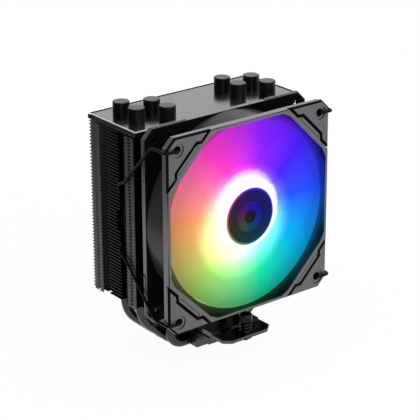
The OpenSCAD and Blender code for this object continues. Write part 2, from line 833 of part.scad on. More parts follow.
// A closed blade: two grids of points, joined round the rim
module blade() {
    row = blade_chords + 1;
    sheet = row * (blade_spans + 1);
    points = [
        for (side = [-1, 1]) for (i = [0:blade_spans]) for (j = [0:blade_chords])
            blade_point(i / blade_spans, j / blade_chords - 0.5, side)
    ];
    skins = [
        for (i = [0:blade_spans - 1]) for (j = [0:blade_chords - 1])
            let(a = i * row + j, b = a + row, c = sheet + a, d = sheet + b)
                each [[a, b + 1, a + 1], [a, b, b + 1], [c, c + 1, d + 1], [c, d + 1, d]]
    ];
    rim = concat(
        [for (j = [0:blade_chords]) j],
        [for (i = [1:blade_spans]) i * row + blade_chords],
        [for (j = [1:blade_chords]) blade_spans * row + blade_chords - j],
        [for (i = [1:blade_spans - 1]) (blade_spans - i) * row]
    );
    edges = [
        for (k = [0:len(rim) - 1]) let(a = rim[k], b = rim[(k + 1) % len(rim)])
            each [[a, b, sheet + b], [a, sheet + b, sheet + a]]
    ];
    polyhedron(points, concat(skins, edges));
}

// The cup of the hub, with the seat of its cap in front and the boss for the shaft behind
module hub_shell() {
    rear = hub_back + hub_depth;
    seat_r = cap_disc_r + press;
    seat = hub_back + cap_disc_t;
    inside = hub_back + hub_front_t;
    boss_r = shaft_r + boss_wall;
    bore_r = shaft_r + press;
    rotate_extrude() polygon([
        [0, seat], [seat_r, seat], [seat_r, hub_back],
        [hub_r - hub_edge, hub_back], [hub_r, hub_back + hub_edge], [hub_r, rear],
        [hub_inner_r, rear], [hub_inner_r, inside], [boss_r, inside],
        [boss_r, boss_end], [bore_r, boss_end], [bore_r, shaft_front], [0, shaft_front]
    ]);
}

module impeller() {
    color("#e8e8ee") on_fan() {
        hub_shell();
        for (k = [0:blade_count - 1]) rotate([0, 0, k * 360 / blade_count]) blade();
    }
}

// A disc with a bevelled rim, three turned rings, and a dish with a dot in its middle
module hub_cap() {
    groove = 0.4;
    ring_step = 1.2;
    dish_r = 3.7;
    dot_r = 1;
    color("#17181a") on_fan() translate([0, 0, hub_back]) difference() {
        union() {
            cylinder(r1 = cap_disc_r - groove, r2 = cap_disc_r, h = groove);
            translate([0, 0, groove]) cylinder(r = cap_disc_r, h = cap_disc_t - groove);
        }
        for (k = [0:2]) let(r = cap_ring_r - k * ring_step) ring(r + groove, r, -over, over + groove);
        ring(dish_r, dot_r, -over, over + groove);
    }
}

module rotor_yoke() {
    color("#77797c") on_fan() ring(yoke_r, yoke_r - yoke_t, yoke_z, yoke_l);
}

module rotor_magnet() {
    color("#2c2c2e") on_fan() ring(magnet_r, magnet_r - magnet_t, magnet_z, magnet_l);
}

module fan_shaft() {
    color("#b9bcc0") on_fan() difference() {
        translate([0, 0, shaft_front + free]) cylinder(r = shaft_r, h = shaft_end - shaft_front - free);
        ring(shaft_r + over, shaft_r - washer_groove, washer_z - free, washer_t + 2 * free);
    }
}

module shaft_clip() {
    color("#d8d8d4") on_fan() ring(washer_r, shaft_r - washer_groove + press, washer_z, washer_t);
}

// Stator

module fan_bearing() {
    bearing_l = washer_z - tube_z - 2 * bearing_margin;
    color("#a08a5a") on_fan() ring(bearing_r, shaft_r + running, tube_z + bearing_margin, bearing_l);
}

module stator_core() {
    shoe_r = stator_r - shoe_t;
    pole_from = tube_r + stator_core_t / 2;
    pole_to = stator_r - shoe_t / 2;
    wedge_x = 2 * stator_r;
    wedge_y = wedge_x * tan(shoe_angle / 2);
    color("#6f7276") on_fan() translate([0, 0, stator_z]) linear_extrude(stator_l) {
        difference() {
            circle(r = tube_r + press + stator_core_t);
            circle(r = tube_r + press);
        }
        for (k = [0:pole_count - 1]) rotate([0, 0, k * 360 / pole_count]) {
            translate([pole_from, -pole_w / 2]) square([pole_to - pole_from, pole_w]);
            difference() {
                intersection() {
                    circle(r = stator_r);
                    polygon([[0, 0], [wedge_x, -wedge_y], [wedge_x, wedge_y]]);
                }
                circle(r = shoe_r);
            }
        }
    }
}

module stator_coils() {
    first = tube_r + press + stator_core_t + coil_gap;
    room = sqrt(pow(stator_r - shoe_t, 2) - pow(pole_w / 2 + coil_t, 2)) - first - coil_gap;
    color("#a5562c") on_fan() for (k = [0:pole_count - 1]) rotate([0, 0, k * 360 / pole_count])
        translate([first, 0, stator_z]) difference() {
            translate([0, -pole_w / 2 - coil_t, -coil_t])
                cube([room, pole_w + 2 * coil_t, stator_l + 2 * coil_t]);
            translate([-over, -pole_w / 2 - press, -press])
                cube([room + 2 * over, pole_w + 2 * press, stator_l + 2 * press]);
        }
}

module fan_circuit_board() {
    color("#1d4a30") on_fan() ring(hub_inner_r - board_margin, tube_r + press, board_z, board_t);
}

module fan_lamps() {
    lamp_r = magnet_r - magnet_t - lamp_size;
    color("#f4f2e6") on_fan() for (k = [0:lamp_count - 1]) rotate([0, 0, (k + 0.5) * 360 / lamp_count])
        translate([lamp_r, -lamp_size / 2, board_z - lamp_h]) cube([lamp_size, lamp_size, lamp_h]);
}

// Wire forms

// Sides of a wire, and the part of a straight length that one bend may use
wire_sides = 8;
spring_sides = 6;
bend_share = 0.48;

function unit(v) = v / norm(v);

// Four points of the round bend at b between a and c
function bend_points(a, b, c, r) = let(
    from = unit(a - b),
    to = unit(c - b),
    half_angle = acos(max(-1, min(1, from * to))) / 2,
    cut = min(r / tan(half_angle), bend_share * norm(a - b), bend_share * norm(c - b)),
    p = b + cut * from,
    q = b + cut * to
) [for (s = [0, 1 / 3, 2 / 3, 1]) (1 - s) * (1 - s) * p + 2 * s * (1 - s) * b + s * s * q];

// A route with its inner corners bent to radius r
function rounded(route, r) = concat(
    [route[0]],
    [for (k = [1:len(route) - 2]) each bend_points(route[k - 1], route[k], route[k + 1], r)],
    [route[len(route) - 1]]
);

function tangent(path, k) = unit(path[min(k + 1, len(path) - 1)] - path[max(k - 1, 0)]);

// A side direction for each ring, carried along the path without twist
function carried(path, side, k = 0) = k >= len(path) ? [] : let(
    t = tangent(path, k),
    flat = unit(side - (side * t) * t)
) concat([flat], carried(path, flat, k + 1));

// One unbroken tube along a path
module wire_tube(path, r, sides, first_side) {
    across = carried(path, first_side);
    last = len(path) - 1;
    points = [
        for (k = [0:last]) let(u = across[k], v = cross(tangent(path, k), u))
            for (j = [0:sides - 1]) path[k] + r * (cos(360 * j / sides) * u + sin(360 * j / sides) * v)
    ];
    walls = [
        for (k = [0:last - 1]) for (j = [0:sides - 1])
            let(a = k * sides + j, b = k * sides + (j + 1) % sides)
                each [[a, b + sides, b], [a, a + sides, b + sides]]
    ];
    ends = [
        for (j = [1:sides - 2]) let(far = last * sides)
            each [[0, j, j + 1], [far, far + j + 1, far + j]]
    ];
    polyhedron(points, concat(walls, ends));
}

// The upper half of the right clip, from its hook in the fan's hole to the run in the groove
function clip_half() = let(
    hook_x = hole_pitch / 2,
    hook_z = hole_pitch / 2,
    bend_y = wire_groove_y - 2 * wire_bend_r - wire_r,
    drop_z = (wire_bend_z + wire_run_z) / 2 + wire_r
) [
    [hook_x, fan_front_y + wire_hook, hook_z],
    [hook_x, wire_front_y, hook_z],
    [wire_side_x, wire_front_y, hook_z],
    [wire_side_x, fan_front_y + wire_arm, hook_z],
    [wire_side_x, bend_y, wire_bend_z],
    [wire_side_x, wire_groove_y, drop_z],
    [wire_side_x, wire_groove_y, wire_run_z],
    [wire_groove_x, wire_groove_y, wire_run_z]
];

module wire_clip() {
    upper = clip_half();
    last = len(upper) - 1;
    lower = [for (k = [0:last]) let(p = upper[last - k]) [p.x, p.y, -p.z]];
    route = rounded(concat(upper, lower), wire_bend_r);
    translate([0, 0, fan_z]) wire_tube(route, wire_r, wire_sides, [1, 0, 0]);
}

module right_wire_clip() {
    color("#2b2c2e") wire_clip();
}

module left_wire_clip() {
    color("#2b2c2e") mirror([1, 0, 0]) wire_clip();
}

// Mounting screws

rings_per_turn = 8;
spring_gap = 0.05;
spring_path = let(
    steps = spring_turns * rings_per_turn,
    low = bracket_top + spring_wire / 2 + spring_gap,
    rise = spring_room - spring_wire - 2 * spring_gap,
    r = (spring_d - spring_wire) / 2
) [for (k = [0:steps]) let(a = 360 * k / rings_per_turn) [r * cos(a), r * sin(a), low + rise * k / steps]];

// Least clear distance of a wound wire to itself, over points more than half a turn apart
function least_gap(path, wire, apart) = min([
    for (i = [0:len(path) - 1 - apart]) for (j = [i + apart:len(path) - 1]) norm(path[i] - path[j]) - wire
]);
echo(spring_least_gap = least_gap(spring_path, spring_wire, rings_per_turn / 2 + 1));

module mount_spring() {
    color("#8b8d90") wire_tube(spring_path, spring_wire / 2, spring_sides, [1, 0, 0]);
}

// A sprung screw: a threaded tip, a shank with the groove of its clip, and a head with a hexagon socket
module mount_screw() {
    edge = 0.6;
    tip_edge = 0.3;
    color("#1e1f21") difference() {
        union() {
            translate([0, 0, tip_z]) cylinder(d1 = tip_d - 2 * tip_edge, d2 = tip_d, h = tip_edge);
            translate([0, 0, tip_z + tip_edge]) cylinder(d = tip_d, h = tip_l - tip_edge);
            translate([0, 0, shank_z]) cylinder(d = shank_d, h = head_z - shank_z);
            translate([0, 0, head_z]) cylinder(d = head_d, h = head_h - edge);
            translate([0, 0, head_z + head_h - edge]) cylinder(d1 = head_d, d2 = head_d - 2 * edge, h = edge);
        }
        ring(shank_d, shank_d / 2 - keeper_groove, keeper_z - free, keeper_t + 2 * free);
        translate([0, 0, head_z + head_h - socket_depth])
            cylinder(d = socket_d, h = socket_depth + over, $fn = 6);
    }
}

module screw_keeper() {
    inner = shank_d / 2 - keeper_groove + running;
    color("#141415") difference() {
        ring(keeper_d / 2, inner, keeper_z, keeper_t);
        translate([0, -inner, keeper_z - over]) cube([keeper_d, 2 * inner, keeper_t + 2 * over]);
    }
}

base_plate();
clamp_block();
mounting_bracket();
bracket_cover();
bracket_screws();
for (k = [0:pipe_count - 1]) heat_pipe(k);
cooling_fins();
top_plate();
for (k = [0:2 * pipe_count - 1]) pipe_cap(k);
fan_frame();
for (k = [0:3]) front_pad(k);
for (k = [0:3]) rear_pad(k);
impeller();
hub_cap();
rotor_yoke();
rotor_magnet();
fan_shaft();
shaft_clip();
fan_bearing();
stator_core();
stator_coils();
fan_circuit_board();
fan_lamps();
left_wire_clip();
right_wire_clip();
at_screw(-1) mount_screw();  // front_mount_screw
at_screw(-1) mount_spring();  // front_screw_spring
at_screw(-1) screw_keeper();  // front_screw_keeper
at_screw(1) mount_screw();  // rear_mount_screw
at_screw(1) mount_spring();  // rear_screw_spring
at_screw(1) screw_keeper();  // rear_screw_keeper
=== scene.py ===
# Looks of a tower cooler for a processor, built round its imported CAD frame.
# Metres, +Z up, the fan on the -Y side, the origin in the middle of the contact face.
import math

import bmesh
import bpy
from mathutils import Matrix, Vector


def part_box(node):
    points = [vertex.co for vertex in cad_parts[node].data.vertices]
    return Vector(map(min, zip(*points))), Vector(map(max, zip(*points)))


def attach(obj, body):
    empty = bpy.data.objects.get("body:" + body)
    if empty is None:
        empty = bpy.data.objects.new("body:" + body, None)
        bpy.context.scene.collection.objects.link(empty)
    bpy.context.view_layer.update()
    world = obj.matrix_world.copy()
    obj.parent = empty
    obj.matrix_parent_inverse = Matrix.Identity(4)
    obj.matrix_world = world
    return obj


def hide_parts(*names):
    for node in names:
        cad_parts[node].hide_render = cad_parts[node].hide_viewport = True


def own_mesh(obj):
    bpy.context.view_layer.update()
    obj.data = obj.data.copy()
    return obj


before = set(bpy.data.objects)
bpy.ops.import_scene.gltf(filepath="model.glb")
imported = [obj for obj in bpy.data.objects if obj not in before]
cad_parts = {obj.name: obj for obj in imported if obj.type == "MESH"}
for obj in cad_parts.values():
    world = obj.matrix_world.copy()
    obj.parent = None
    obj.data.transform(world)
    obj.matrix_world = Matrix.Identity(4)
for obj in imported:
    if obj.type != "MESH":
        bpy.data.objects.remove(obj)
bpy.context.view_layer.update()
scene = bpy.context.scene
MM = 0.001

# Names of the CAD pieces that come in rows
CORNERS = ("bottom_right", "bottom_left", "top_left", "top_right")
PADS = [f"{side}_pad_{corner}" for side in ("front", "rear") for corner in CORNERS]
PIPES = [f"heat_pipe_{k}" for k in range(1, 5)]
CAPS = [f"pipe_cap_{k}" for k in range(1, 9)]
SCREWS = [f"{side}_{piece}" for side in ("front", "rear") for piece in ("mount_screw", "screw_keeper")]

# The fan's place, from the frame
FAN_LOW, FAN_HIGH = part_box("fan_frame")
FAN_Z = (FAN_LOW.z + FAN_HIGH.z) / 2
FAN_CENTRE = Vector((0, FAN_LOW.y, FAN_Z))
FINS_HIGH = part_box("cooling_fins")[1]
# Turns a shape drawn along +Z so that its depth runs along +Y, behind the fan's front face
ON_FAN = Matrix.Translation(FAN_CENTRE) @ Matrix.Rotation(-math.pi / 2, 4, "X")


# Small helpers

# Range in which most of a noise pattern lies
NOISE_LOW, NOISE_HIGH = 0.25, 0.75


def linear(code):
    """An sRGB hex colour as linear red, green, blue and alpha."""
    channels = [int(code[k:k + 2], 16) / 255 for k in (1, 3, 5)]
    return tuple(c / 12.92 if c <= 0.04045 else ((c + 0.055) / 1.055) ** 2.4 for c in channels) + (1.0,)


def per_mm(size):
    """Texture scale at which one cell of a pattern measures that many millimetres."""
    return 1 / (size * MM)


def mix(a, b, share):
    return a + (b - a) * share


def node(tree, kind, inputs=None, **settings):
    """Adds a node, with its settings, and sets or links each of the inputs."""
    made = tree.nodes.new(kind)
    for name, value in settings.items():
        setattr(made, name, value)
    for socket, value in (inputs or {}).items():
        if isinstance(value, bpy.types.NodeSocket):
            tree.links.new(value, made.inputs[socket])
        else:
            made.inputs[socket].default_value = value
    return made


def math_node(tree, operation, a, b=0.0):
    return node(tree, "ShaderNodeMath", {0: a, 1: b}, operation=operation).outputs[0]


def minus(tree, a, b):
    return node(tree, "ShaderNodeVectorMath", {0: a, 1: b}, operation="SUBTRACT").outputs[0]


def scaled(tree, vector, factor):
    return node(tree, "ShaderNodeVectorMath", {0: vector, "Scale": factor}, operation="SCALE").outputs[0]


def length(tree, vector):
    return node(tree, "ShaderNodeVectorMath", {0: vector}, operation="LENGTH").outputs["Value"]


def split(tree, vector):
    """Sockets for a vector's X, Y and Z."""
    outputs = node(tree, "ShaderNodeSeparateXYZ", {0: vector}).outputs
    return outputs["X"], outputs["Y"], outputs["Z"]


def face_normal(tree):
    """Sockets for the X, Y and Z of a face's own normal."""
    return split(tree, node(tree, "ShaderNodeNewGeometry").outputs["True Normal"])


def ranged(tree, value, low, high, at_low=0.0, at_high=1.0):
    """A value carried from one range to another, and held at its ends."""
    return node(tree, "ShaderNodeMapRange", {"Value": value, "From Min": low, "From Max": high,
                                             "To Min": at_low, "To Max": at_high}).outputs["Result"]


def new_material(name):
    """A material, its tree, its shader and its Object coordinates."""
    made = bpy.data.materials.new(name)
    made.use_nodes = True
    tree = made.node_tree
    return made, tree, tree.nodes["Principled BSDF"], node(tree, "ShaderNodeTexCoord").outputs["Object"]


def set_shader(tree, shader, **values):
    """Sets or links the shader's sockets, whose names are given with _ for each space."""
    for name, value in values.items():
        socket = shader.inputs[name.replace("_", " ")]
        if isinstance(value, bpy.types.NodeSocket):
            tree.links.new(value, socket)
        else:
            socket.default_value = value


def noise(tree, place, size, detail=3.0, stretch=(1, 1, 1)):
    """Noise with cells of that many millimetres, drawn out along an axis whose stretch is below 1."""
    mapped = node(tree, "ShaderNodeMapping", {"Vector": place, "Scale": stretch}).outputs["Vector"]
    return node(tree, "ShaderNodeTexNoise", {"Vector": mapped, "Scale": per_mm(size),
                                             "Detail": detail}).outputs["Fac"]


def tones(tree, value, dark, light, low=NOISE_LOW, high=NOISE_HIGH):
    """A colour between two hex colours."""
    ramp = node(tree, "ShaderNodeValToRGB", {"Fac": value})
    for stop, position, code in zip(ramp.color_ramp.elements, (low, high), (dark, light)):
        stop.position = position
        stop.color = linear(code)
    return ramp.outputs["Color"]


def spread(tree, value, low, high):
    """Noise carried to a range round its middle."""
    return ranged(tree, value, NOISE_LOW, NOISE_HIGH, low, high)


def bumps(tree, value, strength, height):
    """A normal from a height pattern, its height in millimetres."""
    return node(tree, "ShaderNodeBump", {"Height": value, "Strength": strength,
                                         "Distance": height * MM}).outputs["Normal"]


def blend_colours(tree, share, first, second):
    return node(tree, "ShaderNodeMix", {0: share, 6: first, 7: second}, data_type="RGBA").outputs[2]


def dress(finish, *names):
    """Gives CAD nodes a finish."""
    for name in names:
        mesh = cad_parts[name].data
        mesh.materials.clear()
        mesh.materials.append(finish)


# Finishes

# The lamps' eight hues, each at its angle round the fan in degrees, from +X towards +Z
HUES = {-180: "#f89e66", -135: "#a2de6c", -90: "#16d89e", -45: "#0aa6e8", 0: "#2650ff", 45: "#4824ff",
        90: "#8c24fe", 135: "#fe3cc4", 180: "#f89e66"}


def fan_parts(tree, place):
    """Sockets for a point's X, depth and Z from the middle of the fan's front face."""
    return split(tree, minus(tree, place, FAN_CENTRE))


def fan_polar(tree, place):
    """Sockets for the angle round the fan's axis, from 0 to 1, and for the distance from it."""
    x, _, z = fan_parts(tree, place)
    turn = ranged(tree, math_node(tree, "ARCTAN2", z, x), -math.pi, math.pi)
    return turn, length(tree, node(tree, "ShaderNodeCombineXYZ", {"X": x, "Y": z}).outputs[0])


def rainbow(tree, turn):
    """The hue at an angle round the fan."""
    ramp = node(tree, "ShaderNodeValToRGB", {"Fac": turn})
    stops = ramp.color_ramp.elements
    stops[0].color = linear(HUES[-180])
    stops[1].color = linear(HUES[180])
    for angle, code in HUES.items():
        if abs(angle) < 180:
            stops.new((angle + 180) / 360).color = linear(code)
    return ramp.outputs["Color"]


# Radii between which the light falls from its bright core to its full hue, and on to its dimmer rim
CORE_R = 21 * MM
HUE_FROM = 38 * MM
RIM = 57 * MM
HUE_LEVEL = 1.1
LOW_RIM, HIGH_RIM = 0.42, 0.85
CORE_GAIN = 2.6
CORE_POWER = 1.9
CORE_WHITE = 0.4
WHITE_POWER = 2.0
# White ring round the hub, and the softer halo round that
RING_R = 21.8 * MM
RING_FADE = 2.4 * MM
HALO_R = 20 * MM
HALO_FADE = 5.5 * MM
RING_WHITE = 0.95
# Ring, halo and core lie a little to the left of the axis, and the hues' centre to the right and above
RING_SHIFT = Vector((-1.8, 0, 3)) * MM
HALO_SHIFT = Vector((-4, 0, 5.6)) * MM
CORE_SHIFT = Vector((-5, 0, -2)) * MM
HUE_SHIFT = Vector((8, 0, 7)) * MM
# Shift of the light with depth, so that blades and duct show as one even disc from the front left and above
LIGHT_LEAN = Vector((-0.784, 0, 0.506))


def fan_glow(tree, place):
    """The colour of the lamps' light at a point: bright by the hub, then hues that dim towards the tips."""
    def distance_from(shift):
        return fan_polar(tree, minus(tree, leaned, shift))[1]

    def white_disc(shift, radius, fade):
        return ranged(tree, distance_from(shift), radius + fade, radius, 0.0, RING_WHITE)

    lean = scaled(tree, LIGHT_LEAN, fan_parts(tree, place)[1])
    leaned = node(tree, "ShaderNodeVectorMath", {0: place, 1: lean}, operation="ADD").outputs[0]
    rim_level = ranged(tree, fan_parts(tree, leaned)[2], -RIM, RIM, LOW_RIM, HIGH_RIM)
    dim = ranged(tree, fan_polar(tree, leaned)[1], HUE_FROM, RIM, HUE_LEVEL, rim_level)
    core = ranged(tree, distance_from(CORE_SHIFT), HUE_FROM, CORE_R)
    gain = node(tree, "ShaderNodeMath", {0: math_node(tree, "POWER", core, CORE_POWER), 1: CORE_GAIN, 2: 1.0},
                operation="MULTIPLY_ADD").outputs[0]
    hue = rainbow(tree, fan_polar(tree, minus(tree, leaned, HUE_SHIFT))[0])
    lit = scaled(tree, hue, math_node(tree, "MULTIPLY", dim, gain))
    ring = white_disc(RING_SHIFT, RING_R, RING_FADE)
    halo = white_disc(HALO_SHIFT, HALO_R, HALO_FADE)
    veil = math_node(tree, "MULTIPLY", math_node(tree, "POWER", core, WHITE_POWER), CORE_WHITE)
    white = math_node(tree, "MAXIMUM", math_node(tree, "MAXIMUM", ring, halo), veil)
    return blend_colours(tree, white, lit, linear("#ffffff"))


# Slope of the bevels, and the places of the fan's outer sides, slanted corners and barrel
BEVEL_SLOPE = 0.7
BEVEL_WIDTH = 0.2
FAN_DEPTH = FAN_HIGH.y - FAN_LOW.y
SIDE_MARGIN = 0.2 * MM
CORNER_CUT = 6 * MM
FAN_SIDE = FAN_HIGH.x - SIDE_MARGIN
FAN_CORNER = 2 * FAN_HIGH.x - CORNER_CUT
BARREL_R = 59 * MM
# Share of the satin finish on the barrel between the flanges; the rest of it is painted shade
BARREL_SHARE = 0.3
# Depths and radii within which the blades' light is painted as a glow on the mouth and the duct, and the
# mouth's share at its foot
MOUTH_DEPTH = 4.2 * MM
MOUTH_FAR, MOUTH_NEAR = 64 * MM, 57 * MM
LOW_MOUTH = 0.12
DUCT_DEPTH = 20 * MM
DUCT_R = 58 * MM
# Painted shade on the fan's bevels and inside, a near black and its roughness, and how much of the sheen on
# its faces is that of a metal
PAINTED_SHADE_BLACK = "#0d0d0e"
PAINTED_SHADE_ROUGHNESS = 0.24
METAL_SHARE = 0.55


def unshaded_faces(tree, place, face_depth):
    """A socket for the fan's finish: 1 on its outer sides and flat front and rear, 0 on bevels and inside,
    where shade is painted.
    """
    x, depth, z = fan_parts(tree, place)
    wide, high = math_node(tree, "ABSOLUTE", x), math_node(tree, "ABSOLUTE", z)
    side = math_node(tree, "GREATER_THAN", math_node(tree, "MAXIMUM", wide, high), FAN_SIDE)
    corner = math_node(tree, "GREATER_THAN", math_node(tree, "ADD", wide, high), FAN_CORNER)
    inward = math_node(tree, "MINIMUM", depth, math_node(tree, "SUBTRACT", FAN_DEPTH, depth))
    slope = math_node(tree, "ABSOLUTE", face_normal(tree)[1])
    face = math_node(tree, "MULTIPLY", math_node(tree, "LESS_THAN", inward, face_depth),
                     math_node(tree, "GREATER_THAN", slope, BEVEL_SLOPE))
    away = fan_polar(tree, place)[1]
    round_wall = math_node(tree, "MULTIPLY", math_node(tree, "GREATER_THAN", away, BARREL_R),
                           math_node(tree, "LESS_THAN", slope, 1 - BEVEL_SLOPE))
    between = math_node(tree, "GREATER_THAN", inward, MOUTH_DEPTH)
    barrel = math_node(tree, "MULTIPLY", math_node(tree, "MULTIPLY", round_wall, between), BARREL_SHARE)
    sides = math_node(tree, "MAXIMUM", math_node(tree, "MAXIMUM", side, corner), barrel)
    outside = math_node(tree, "MAXIMUM", face, sides)
    # Bevels get painted black shade in place of the satin finish
    bevel = node(tree, "ShaderNodeMath", {0: slope, 1: BEVEL_SLOPE, 2: BEVEL_WIDTH},
                 operation="COMPARE").outputs[0]
    return math_node(tree, "MULTIPLY", outside, math_node(tree, "SUBTRACT", 1.0, bevel))


def satin_plastic(name, dark, light, roughness, face_depth, painted_mouth_glow, painted_duct_glow):
    """Glass-filled plastic: a satin sheen with very fine grit on the faces that show, and painted black shade
    on bevels and inside, with a painted glow of the blades' light on the mouth and the duct."""
    made, tree, shader, place = new_material(name)
    unshaded = unshaded_faces(tree, place, face_depth)
    painted_shade = math_node(tree, "SUBTRACT", 1.0, unshaded)
    clouds = tones(tree, noise(tree, place, size=14), dark, light)
    grit = bumps(tree, noise(tree, place, size=0.3, detail=2), strength=0.1, height=0.04)
    distance = fan_polar(tree, place)[1]
    _, depth, height = fan_parts(tree, place)
    # Painted glow of the blades' light on the mouth and the duct, brighter towards the top, shown only where
    # shade is painted
    spill = ranged(tree, height, -RIM, RIM, painted_mouth_glow * LOW_MOUTH, painted_mouth_glow)
    near = ranged(tree, distance, MOUTH_FAR, MOUTH_NEAR, 0.0, spill)
    in_mouth = math_node(tree, "LESS_THAN", depth, MOUTH_DEPTH)
    mouth = math_node(tree, "MULTIPLY", near, in_mouth)
    in_duct = math_node(tree, "SUBTRACT", math_node(tree, "LESS_THAN", depth, DUCT_DEPTH), in_mouth)
    duct = math_node(tree, "MULTIPLY", math_node(tree, "LESS_THAN", distance, DUCT_R), in_duct)
    lit = math_node(tree, "MAXIMUM", mouth, math_node(tree, "MULTIPLY", duct, painted_duct_glow))
    level = math_node(tree, "MULTIPLY", lit, painted_shade)
    # Bevels and inside get a painted near-black shade in place of the satin finish
    set_shader(tree, shader, Base_Color=blend_colours(tree, unshaded, linear(PAINTED_SHADE_BLACK), clouds),
               Roughness=ranged(tree, unshaded, 0.0, 1.0, PAINTED_SHADE_ROUGHNESS, roughness), Specular_IOR_Level=0.01,
               Coat_Weight=unshaded, Coat_Roughness=roughness,
               Metallic=math_node(tree, "MULTIPLY", unshaded, METAL_SHARE), Normal=grit,
               Emission_Color=fan_glow(tree, place), Emission_Strength=level)
    return made


def dull_plastic(name, dark, light, roughness, grit):
    """Plain moulded plastic or lacquer inside the motor."""
    made, tree, shader, place = new_material(name)
    fine = noise(tree, place, size=grit, detail=2)
    set_shader(tree, shader, Base_Color=tones(tree, fine, dark, light), Roughness=roughness,
               Normal=bumps(tree, fine, strength=0.1, height=0.04))
    return made


def coated_sheet(name, dark, light, roughness):
    """Aluminium with a thin black coat: a dull metal sheen, with rolling marks along the sheet."""
    made, tree, shader, place = new_material(name)
    rolled = noise(tree, place, size=0.8, detail=4, stretch=(0.08, 1, 1))
    set_shader(tree, shader, Base_Color=tones(tree, rolled, dark, light), Metallic=0.9,
               Roughness=spread(tree, rolled, roughness - 0.06, roughness + 0.06))
    return made


# Distances from the fins' sides and rear between which the painted near-black shade gives way to their full
# grey sheen
SHEEN_FROM, SHEEN_FULL = -0.6 * MM, -0.2 * MM


def fin_sheet(name, dark, light, painted_shade):
    """Black-coated aluminium fins: a dull grey sheen on folded tabs and cut edges, and a painted near-black
    shade elsewhere.
    """
    made, tree, shader, place = new_material(name)
    rolled = noise(tree, place, size=0.8, detail=4, stretch=(1, 0.08, 1))
    x, y, _ = split(tree, place)
    # Away from the outer sides and rear the fins get a painted near-black shade
    beyond = math_node(tree, "MAXIMUM",
                       math_node(tree, "SUBTRACT", math_node(tree, "ABSOLUTE", x), FINS_HIGH.x),
                       math_node(tree, "SUBTRACT", y, FINS_HIGH.y))
    edge = ranged(tree, beyond, SHEEN_FROM, SHEEN_FULL)
    colour = blend_colours(tree, edge, linear(painted_shade), tones(tree, rolled, dark, light))
    set_shader(tree, shader, Base_Color=colour, Metallic=0.9, Roughness=spread(tree, rolled, 0.4, 0.5))
    return made


def brushed_metal(name, dark, light, roughness, along):
    """Anodised metal brushed one way: fine streaks, and reflections smeared across them."""
    made, tree, shader, place = new_material(name)
    streaks = noise(tree, place, size=0.45, detail=5, stretch=along)
    set_shader(tree, shader, Base_Color=tones(tree, streaks, dark, light), Metallic=1.0,
               Roughness=spread(tree, streaks, roughness - 0.05, roughness + 0.05),
               Normal=bumps(tree, streaks, strength=0.2, height=0.03))
    return made


# Rim of painted black shade and painted highlight on the fold of the top plate, and the product of normals
# that tells the fold
RIM_WIDTH = 2.6 * MM
PAINTED_RIM_SHADE = "#0a0a0a"
PAINTED_FOLD_HIGHLIGHT = "#f0f0f0"
FOLD_SLOPE = -0.15


def folded_sheet(name, dark, light, roughness, along):
    """Brushed sheet with a painted highlight on the fold along its left side and a thin rim of painted black
    shade at the rear and right.
    """
    made, tree, shader, place = new_material(name)
    streaks = noise(tree, place, size=0.45, detail=5, stretch=along)
    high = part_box("top_plate")[1]
    x, y, _ = split(tree, place)
    # The rim at the rear and right is painted shade, a matte black
    rim = math_node(tree, "MAXIMUM", math_node(tree, "GREATER_THAN", y, high.y - RIM_WIDTH),
                    math_node(tree, "GREATER_THAN", x, high.x - RIM_WIDTH))
    # The fold along the left side is a painted highlight, near white
    across, _, up = face_normal(tree)
    fold_highlight = math_node(tree, "LESS_THAN", math_node(tree, "MULTIPLY", across, up), FOLD_SLOPE)
    colour = blend_colours(tree, rim, tones(tree, streaks, dark, light), linear(PAINTED_RIM_SHADE))
    set_shader(tree, shader, Base_Color=blend_colours(tree, fold_highlight, colour, linear(PAINTED_FOLD_HIGHLIGHT)),
               Metallic=math_node(tree, "SUBTRACT", 1.0, rim), Specular_IOR_Level=0.0,
               Roughness=spread(tree, streaks, roughness - 0.05, roughness + 0.05),
               Normal=bumps(tree, streaks, strength=0.2, height=0.03))
    return made


def plated_metal(name, dark, light, roughness):
    """Plated metal: a mirror, bright or dark, with faint clouds."""
    made, tree, shader, place = new_material(name)
    clouds = noise(tree, place, size=5, detail=4)
    set_shader(tree, shader, Base_Color=tones(tree, clouds, dark, light), Metallic=1.0,
               Roughness=spread(tree, clouds, roughness - 0.04, roughness + 0.04))
    return made


def turned_metal(name, side, dark, light):
    """A black cap whose top was faced on a lathe: rings of fine turning marks on grey, black sides."""
    made, tree, shader, _ = new_material(name)
    radius = node(tree, "ShaderNodeAttribute", attribute_name="turning_radius").outputs["Fac"]
    rings = node(tree, "ShaderNodeTexNoise", {"W": radius, "Scale": per_mm(0.5), "Detail": 3},
                 noise_dimensions="1D").outputs["Fac"]
    top = node(tree, "ShaderNodeAttribute", attribute_name="faced_top").outputs["Fac"]
    colour = blend_colours(tree, top, linear(side), tones(tree, rings, dark, light, low=0.35, high=0.65))
    set_shader(tree, shader, Base_Color=colour, Metallic=top, Specular_IOR_Level=0.15,
               Roughness=spread(tree, rings, 0.24, 0.36),
               Normal=bumps(tree, rings, strength=0.15, height=0.02))
    return made


# Share of the light's colour that the unlit plastic of the blades has
BODY_SHARE = 0.02


def lit_plastic(name):
    """Milky plastic lit by lamps behind the hub."""
    made, tree, shader, place = new_material(name)
    glow = fan_glow(tree, place)
    set_shader(tree, shader, Base_Color=scaled(tree, glow, BODY_SHARE), Roughness=0.6,
               Specular_IOR_Level=0.02, Emission_Color=glow, Emission_Strength=1.0)
    return made


# Shares of the hues that show through the hub cap: in the middle, at the rim, and in rings between
HUB_CAP_R = 17.5 * MM
HUB_MIDDLE = (0.02, 0.02, 0.03, 1)
HUB_RIM = (0.8, 0.6, 0.9, 1)
HUB_RINGS = ((0.21, 0.03), (0.25, 0.24), (0.5, 0.28), (0.56, 0.1), (0.9, 0.14))
HUB_TINT = (0.3, 0.35, 1.0)


